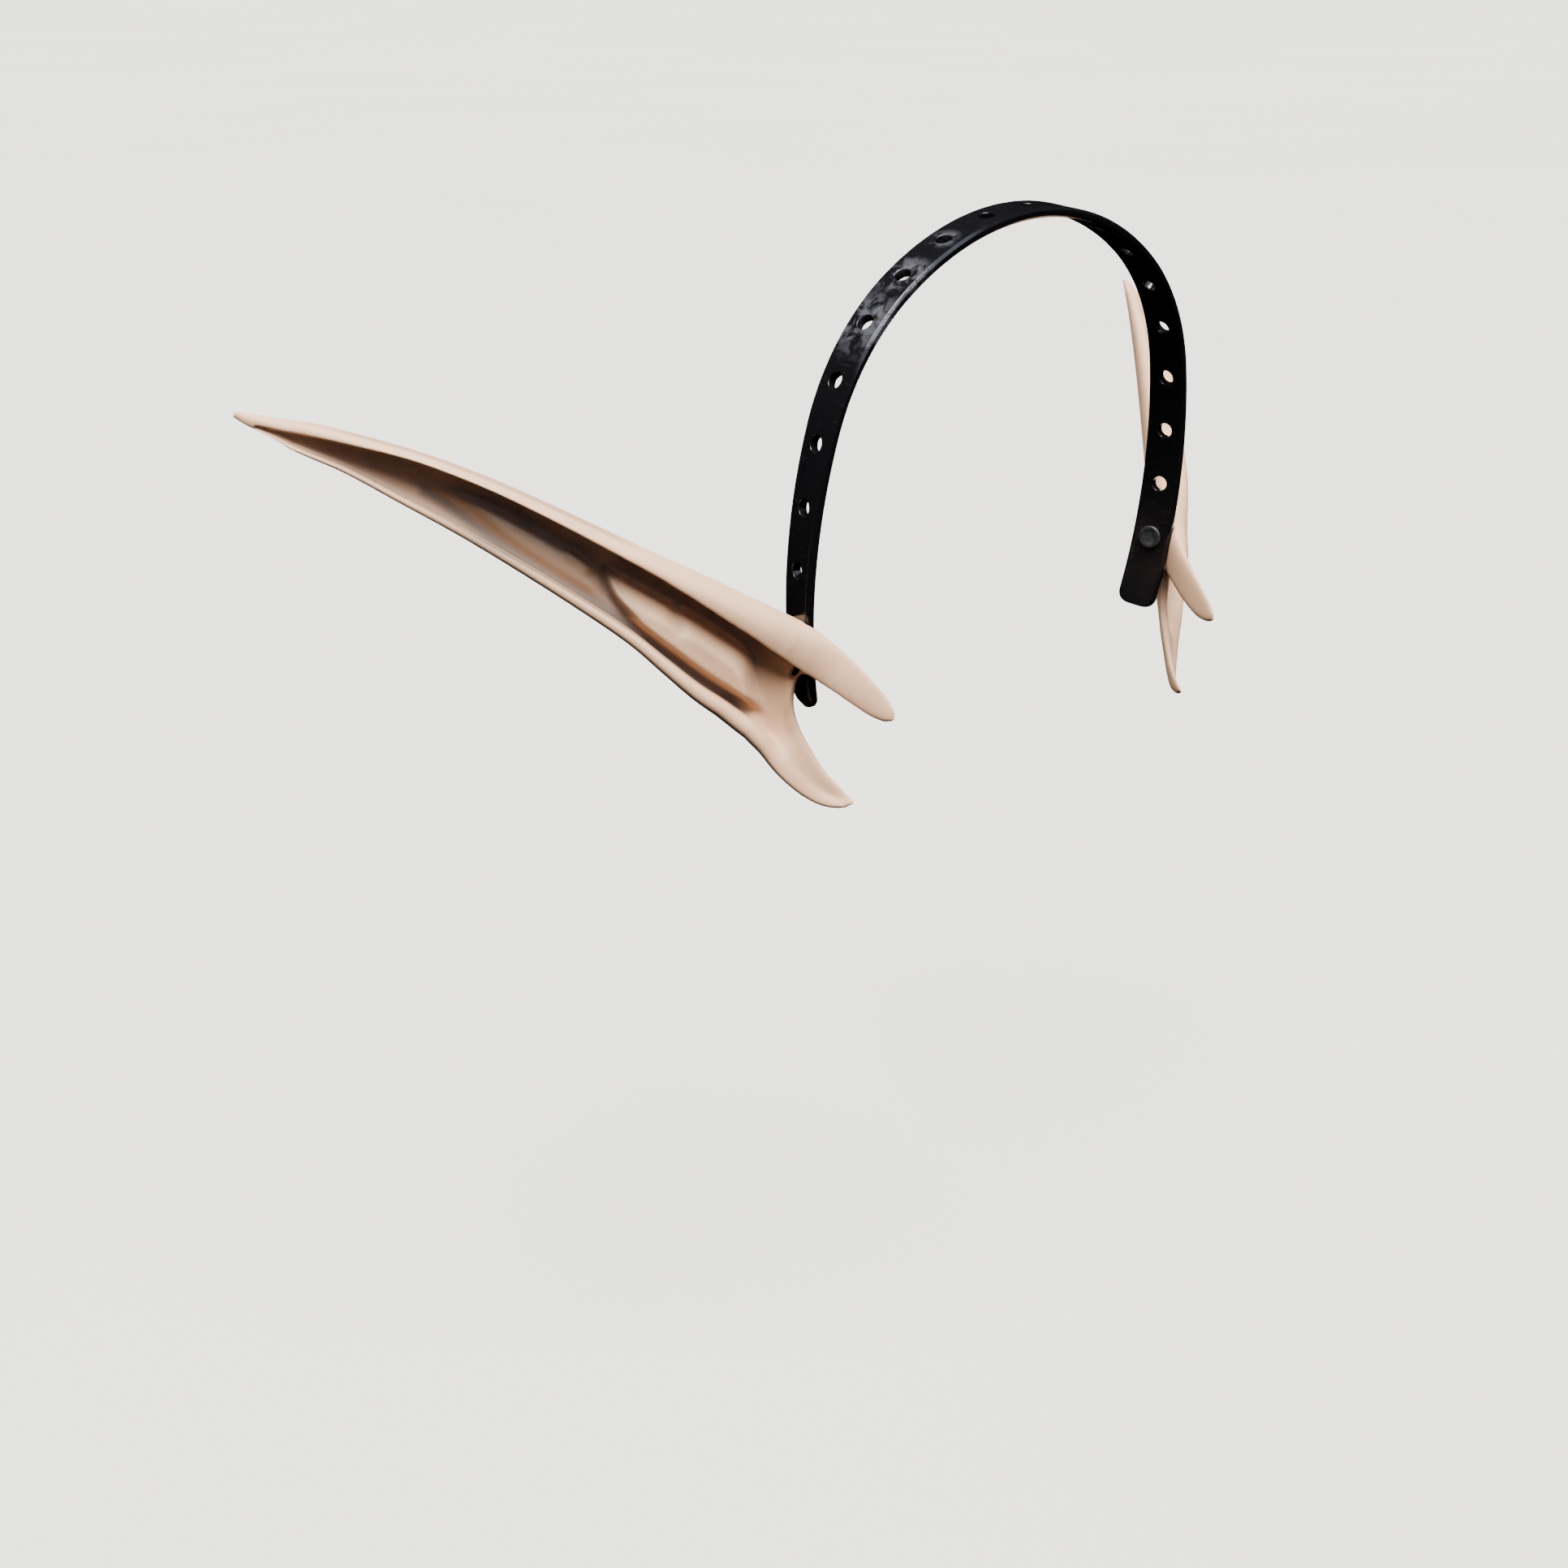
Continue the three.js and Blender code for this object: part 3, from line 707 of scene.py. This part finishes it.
def headband():
    """The band with its punched holes and bevelled edges."""
    points, faces = [], []

    def patch(rows, closed):
        base = len(points)
        count = len(rows[0])
        for row in rows:
            points.extend(map(tuple, row))
        for r in range(len(rows) - 1):
            for k in range(count if closed else count - 1):
                a, b = base + r * count + k, base + r * count + (k + 1) % count
                faces.append((a, a + count, b + count, b))

    for k in range(-HOLES_PER_SIDE, HOLES_PER_SIDE + 1):
        centre = k * HOLE_PITCH
        patch(cell_rings(centre), True)
        profile = side_profile(0)
        arcs = centre + np.linspace(-HOLE_PITCH / 2, HOLE_PITCH / 2, CELL_STEPS_ALONG + 1)
        for side in (-1, 1):
            rows = [[(arc, side * w, out) for arc in arcs[::side]] for w, out in profile]
            patch(rows, False)
    edge_of_cells = (HOLES_PER_SIDE + 0.5) * HOLE_PITCH
    for side in (-1, 1):
        rows = []
        reach = BAND_HALF_LENGTH
        bend = BAND_END_RADIUS
        straight = np.linspace(edge_of_cells, reach - bend, 5)[:-1]
        turns = np.radians(np.linspace(0, 90, 9))
        stations = [(arc, 0.0) for arc in straight]
        stations += [(reach - bend * (1 - math.sin(t)), bend * (1 - math.cos(t))) for t in turns]
        for arc, inset in stations:
            profile = side_profile(inset)
            wide = BAND_WIDTH / 2 - EDGE_INSET - inset
            flat = np.linspace(-wide, wide, CELL_STEPS_ACROSS + 1)
            outer = [(arc, w, 0.0) for w in flat]
            far = [(arc, w, out) for w, out in profile[1:-1]]
            inner = [(arc, w, -BAND_THICKNESS) for w in flat[::-1]]
            near = [(arc, -w, out) for w, out in profile[1:-1][::-1]]
            row = outer + far + inner + near
            rows.append([(side * a, w, o) for a, w, o in row])
        base = len(points)
        patch(rows, True)
        count = len(rows[0])
        faces.append(tuple(range(base + (len(rows) - 1) * count, base + len(rows) * count)))
    placed = []
    for arc, across_by, out_by in points:
        point, _, across, outward = band_frame(arc)
        placed.append(point + across * across_by + outward * out_by)
    band = make_object("headband_strap", placed, faces)
    weld = band.modifiers.new("weld", "WELD")
    weld.merge_threshold = 0.002 * MM
    apply_modifiers(band)
    face_outwards(band)
    return band


def right_post():
    """Post whose head lies inside the band and whose shank passes the hole into the ear."""
    start = SEAT_POINT - SEAT_OUTWARD * (BAND_THICKNESS + CLEARANCE + POST_HEAD_THICKNESS)
    head, shank = POST_HEAD_DIAMETER / 2, POST_DIAMETER / 2
    length = POST_HEAD_THICKNESS + CLEARANCE + BAND_THICKNESS + POST_DEPTH
    profile = (
        (0.12, head * 0.25),
        (0.1, head * 0.6),
        (0, head * 0.66),
        (0, head - 0.35),
        (0.1, head - 0.1),
        (0.35, head),
        (POST_HEAD_THICKNESS - 0.2, head),
        (POST_HEAD_THICKNESS, head - 0.2),
        (POST_HEAD_THICKNESS, shank + 0.1),
        (POST_HEAD_THICKNESS + 0.1, shank),
        (length - 0.5, shank),
        (length, shank - 0.5),
    )
    return ring_rod("post_right_turned", start, SEAT_OUTWARD, profile)


class Nodes:
    """Short way to build a material's nodes."""

    def __init__(self, name):
        self.material = bpy.data.materials.new(name)
        self.material.use_nodes = True
        self.tree = self.material.node_tree
        self.shader = self.tree.nodes["Principled BSDF"]
        self.coordinates = self.tree.nodes.new("ShaderNodeTexCoord").outputs["Object"]

    def link(self, source, target):
        """Joins an output to an input."""
        self.tree.links.new(source, target)

    def noise(self, scale, detail=3.0, roughness=0.5, stretch=None, distortion=0.0):
        """Noise over the object, with about so many cells to a metre."""
        node = self.tree.nodes.new("ShaderNodeTexNoise")
        node.inputs["Scale"].default_value = scale
        node.inputs["Detail"].default_value = detail
        node.inputs["Roughness"].default_value = roughness
        node.inputs["Distortion"].default_value = distortion
        source = self.coordinates
        if stretch:
            mapping = self.tree.nodes.new("ShaderNodeMapping")
            mapping.inputs["Scale"].default_value = stretch
            self.link(source, mapping.inputs["Vector"])
            source = mapping.outputs["Vector"]
        self.link(source, node.inputs["Vector"])
        return node.outputs["Fac"]

    def spread(self, source, low, high, to_low=0.0, to_high=1.0):
        """One range of a value turned smoothly into another."""
        node = self.tree.nodes.new("ShaderNodeMapRange")
        node.interpolation_type = "SMOOTHSTEP"
        node.inputs["From Min"].default_value = low
        node.inputs["From Max"].default_value = high
        node.inputs["To Min"].default_value = to_low
        node.inputs["To Max"].default_value = to_high
        self.link(source, node.inputs["Value"])
        return node.outputs["Result"]

    def maths(self, operation, a, b):
        """Product, sum or larger of two outputs or numbers."""
        node = self.tree.nodes.new("ShaderNodeMath")
        node.operation = operation
        for socket, value in zip(node.inputs, (a, b)):
            if isinstance(value, (int, float)):
                socket.default_value = value
            else:
                self.link(value, socket)
        return node.outputs[0]

    def near(self, point, inner, outer):
        """1 close to a point in millimetres, falling to 0 at the outer distance."""
        node = self.tree.nodes.new("ShaderNodeVectorMath")
        node.operation = "DISTANCE"
        self.link(self.coordinates, node.inputs[0])
        node.inputs[1].default_value = tuple(float(v) * MM for v in point)
        return self.spread(node.outputs["Value"], inner * MM, outer * MM, 1, 0)

    def painted(self, name):
        """Number stored on the mesh under a name."""
        node = self.tree.nodes.new("ShaderNodeAttribute")
        node.attribute_name = name
        return node.outputs["Fac"]

    def mix(self, share, a, b):
        """Colour between two, each a colour or an output."""
        node = self.tree.nodes.new("ShaderNodeMix")
        node.data_type = "RGBA"
        self.link(share, node.inputs["Factor"])
        for socket, value in ((node.inputs["A"], a), (node.inputs["B"], b)):
            if isinstance(value, tuple):
                socket.default_value = (*value, 1)
            else:
                self.link(value, socket)
        return node.outputs["Result"]

    def bump(self, height, distance, strength, before=None):
        """Fine relief from a height, with its depth in millimetres."""
        node = self.tree.nodes.new("ShaderNodeBump")
        node.inputs["Strength"].default_value = strength
        node.inputs["Distance"].default_value = distance * MM
        self.link(height, node.inputs["Height"])
        if before:
            self.link(before, node.inputs["Normal"])
        return node.outputs["Normal"]


def skin_material():
    """Soft cast rubber, peach beige, matte, with faint mottling, pores and painted shade, darker
    where the trough and its creases lie in shade.
    """
    nodes = Nodes("ear_skin_cast_rubber")
    clouds = nodes.spread(nodes.noise(45, 3), 0.3, 0.7)
    specks = nodes.spread(nodes.noise(420, 4, 0.6), 0.35, 0.7)
    base = nodes.mix(clouds, *SKIN_SHADES)
    faint = nodes.maths("MULTIPLY", specks, SPECK_SHARE)
    colour = nodes.mix(faint, base, SPECK_COLOUR)
    # Painted shade from the stored share of each point, darkening the trough and its creases
    painted_shade = nodes.maths("MULTIPLY", nodes.painted("painted_shade"), PAINTED_SHADE_SHARE)
    shaded_colour = nodes.mix(painted_shade, colour, PAINTED_SHADE_COLOUR)
    nodes.link(shaded_colour, nodes.shader.inputs["Base Color"])
    rough = nodes.spread(nodes.noise(180, 4), 0.3, 0.7, 0.48, 0.6)
    nodes.link(rough, nodes.shader.inputs["Roughness"])
    nodes.shader.inputs["Subsurface Weight"].default_value = 0.08
    nodes.shader.inputs["Subsurface Radius"].default_value = (1.0, 0.5, 0.3)
    nodes.shader.inputs["Subsurface Scale"].default_value = 0.0012
    nodes.shader.inputs["Specular IOR Level"].default_value = 0.38
    swells = nodes.bump(nodes.noise(90, 2), 0.25, 0.35)
    pores = nodes.bump(nodes.noise(2600, 2, 0.6), 0.03, 0.3, swells)
    nodes.link(pores, nodes.shader.inputs["Normal"])
    return nodes.material


def band_material():
    """Black moulded plastic, glossy, scuffed and wrinkled round the holes that are used."""
    nodes = Nodes("band_black_gloss_plastic")
    worn = None
    for hole, inner, outer in WORN_HOLES:
        near = nodes.near(band_frame(hole * HOLE_PITCH)[0], inner, outer)
        worn = near if worn is None else nodes.maths("MAXIMUM", worn, near)
    patches = nodes.spread(nodes.noise(260, 5, 0.65, distortion=0.6), 0.42, 0.62)
    scuffed = nodes.maths("MULTIPLY", worn, patches)
    hairlines = nodes.spread(nodes.noise(900, 3, 0.6, stretch=(1, 0.15, 1)), 0.6, 0.72)
    greyed = nodes.maths("MAXIMUM", scuffed, nodes.maths("MULTIPLY", hairlines, 0.12))
    colour = nodes.mix(greyed, *BAND_SHADES)
    nodes.link(colour, nodes.shader.inputs["Base Color"])
    smooth = nodes.spread(nodes.noise(120, 4), 0.3, 0.7, 0.13, 0.2)
    rough = nodes.maths("ADD", smooth, nodes.maths("MULTIPLY", greyed, 0.26))
    nodes.link(rough, nodes.shader.inputs["Roughness"])
    nodes.shader.inputs["Specular IOR Level"].default_value = 0.4
    ripple = nodes.bump(nodes.noise(140, 2), 0.1, 0.25)
    creases = nodes.maths("MULTIPLY", nodes.noise(700, 4, 0.65, distortion=1.0), worn)
    wrinkled = nodes.bump(creases, 0.3, 0.5, ripple)
    nodes.link(wrinkled, nodes.shader.inputs["Normal"])
    return nodes.material


def post_material():
    """Black satin plastic with a fine turned grain."""
    nodes = Nodes("post_black_satin_plastic")
    specks = nodes.spread(nodes.noise(900, 4), 0.35, 0.7)
    nodes.link(
        nodes.mix(specks, *POST_SHADES),
        nodes.shader.inputs["Base Color"],
    )
    nodes.link(nodes.spread(specks, 0, 1, 0.38, 0.5), nodes.shader.inputs["Roughness"])
    nodes.link(nodes.bump(specks, 0.05, 0.3), nodes.shader.inputs["Normal"])
    return nodes.material


def floor_material():
    """Plain pale studio floor."""
    nodes = Nodes("pale_floor")
    shade = nodes.spread(nodes.noise(1.5, 2), 0.3, 0.7)
    nodes.link(
        nodes.mix(shade, *FLOOR_SHADES),
        nodes.shader.inputs["Base Color"],
    )
    nodes.shader.inputs["Roughness"].default_value = 0.8
    return nodes.material


def dress(piece, node, material):
    """Gives a piece its material and its place in the frame."""
    piece.data.materials.clear()
    piece.data.materials.append(material)
    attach(piece, "root")
    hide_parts(node)


def place_light(data, at, target):
    """Puts a light at a point, facing another."""
    light = bpy.data.objects.new(data.name, data)
    back = np.array(at, float) - np.array(target, float)
    back /= np.linalg.norm(back)
    right = np.cross((0, 0, 1), back)
    right /= np.linalg.norm(right)
    light.matrix_world = frame_matrix(right, np.cross(back, right), back, at)
    bpy.context.scene.collection.objects.link(light)
    return light


def add_soft_sun(name, direction, strength, angle, colour):
    """Even soft light from a direction."""
    data = bpy.data.lights.new(name, "SUN")
    data.energy = strength
    data.angle = angle
    data.color = colour
    return place_light(data, np.array(direction) * 1000, (0, 0, 0))


def add_softbox(name, at, target, size, power, colour):
    """Square soft light at a point, facing another."""
    data = bpy.data.lights.new(name, "AREA")
    data.shape = "SQUARE"
    data.size = size * MM
    data.energy = power
    data.color = colour
    return place_light(data, at, target)


def frame_matrix(right, up, back, at):
    """Matrix from three directions and a point in millimetres."""
    matrix = Matrix.Identity(4)
    for row in range(3):
        for column, vector in enumerate((right, up, back)):
            matrix[row][column] = float(vector[row])
        matrix[row][3] = at[row] * MM
    return matrix


def add_camera():
    """Camera at the photograph's place, angle and lens."""
    a, e, r = CAMERA_AZIMUTH, CAMERA_ELEVATION, CAMERA_ROLL
    back = np.array((math.sin(a) * math.cos(e), -math.cos(a) * math.cos(e), math.sin(e)))
    level = np.array((math.cos(a), math.sin(a), 0))
    upright = np.cross(back, level)
    right = level * math.cos(r) + upright * math.sin(r)
    up = upright * math.cos(r) - level * math.sin(r)
    data = bpy.data.cameras.new("camera")
    data.sensor_fit = "HORIZONTAL"
    data.sensor_width = CAMERA_SENSOR
    data.lens = CAMERA_LENS
    data.clip_end = 200
    camera = bpy.data.objects.new("camera", data)
    camera.matrix_world = frame_matrix(right, up, back, CAMERA_AT)
    bpy.context.scene.collection.objects.link(camera)
    bpy.context.scene.camera = camera


def add_stage():
    """Pale floor, soft lights and an even pale surrounding."""
    half = FLOOR_SIZE / 2
    corners = [(-half, -half), (half, -half), (half, half), (-half, half)]
    points = [(x, y, -FLOOR_DROP) for x, y in corners]
    floor = make_object("floor", points, [(0, 1, 2, 3)])
    floor.data.materials.append(floor_material())
    floor.visible_diffuse = False
    floor.visible_glossy = False
    for name, direction, strength, angle, colour, in_gloss in SUNS:
        add_soft_sun(name, direction, strength, angle, colour).visible_glossy = in_gloss
    sheen = add_softbox("sheen", SHEEN_AT, SHEEN_TARGET, SHEEN_SIZE, SHEEN_POWER, SHEEN_COLOUR)
    sheen.visible_diffuse = False
    world = bpy.data.worlds.new("studio")
    bpy.context.scene.world = world
    world.use_nodes = True
    background = world.node_tree.nodes["Background"]
    background.inputs["Color"].default_value = SURROUNDING_COLOUR
    background.inputs["Strength"].default_value = SURROUNDING_STRENGTH
    world.cycles_visibility.diffuse = False
    world.cycles_visibility.glossy = False


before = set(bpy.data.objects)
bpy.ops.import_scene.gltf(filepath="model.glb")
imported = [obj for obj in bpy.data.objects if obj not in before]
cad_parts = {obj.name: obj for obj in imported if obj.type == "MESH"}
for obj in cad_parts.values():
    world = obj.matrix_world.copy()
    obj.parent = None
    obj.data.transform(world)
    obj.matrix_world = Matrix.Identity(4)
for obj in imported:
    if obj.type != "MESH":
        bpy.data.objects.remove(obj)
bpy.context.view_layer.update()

add_camera()
add_stage()

skin = skin_material()
ear = right_ear()
other_ear = mirrored(ear, "ear_left_skin")
dress(ear, "ear_right", skin)
dress(other_ear, "ear_left", skin)

strap = headband()
strap.data.shade_smooth()
strap.modifiers.new("flat_faces", "WEIGHTED_NORMAL")
dress(strap, "headband", band_material())

turned = post_material()
post = right_post()
post.data.shade_smooth()
post.modifiers.new("flat_faces", "WEIGHTED_NORMAL")
other_post = mirrored(post, "post_left_turned")
other_post.modifiers.new("flat_faces", "WEIGHTED_NORMAL")
dress(post, "ear_post_right", turned)
dress(other_post, "ear_post_left", turned)

bpy.context.view_layer.update()
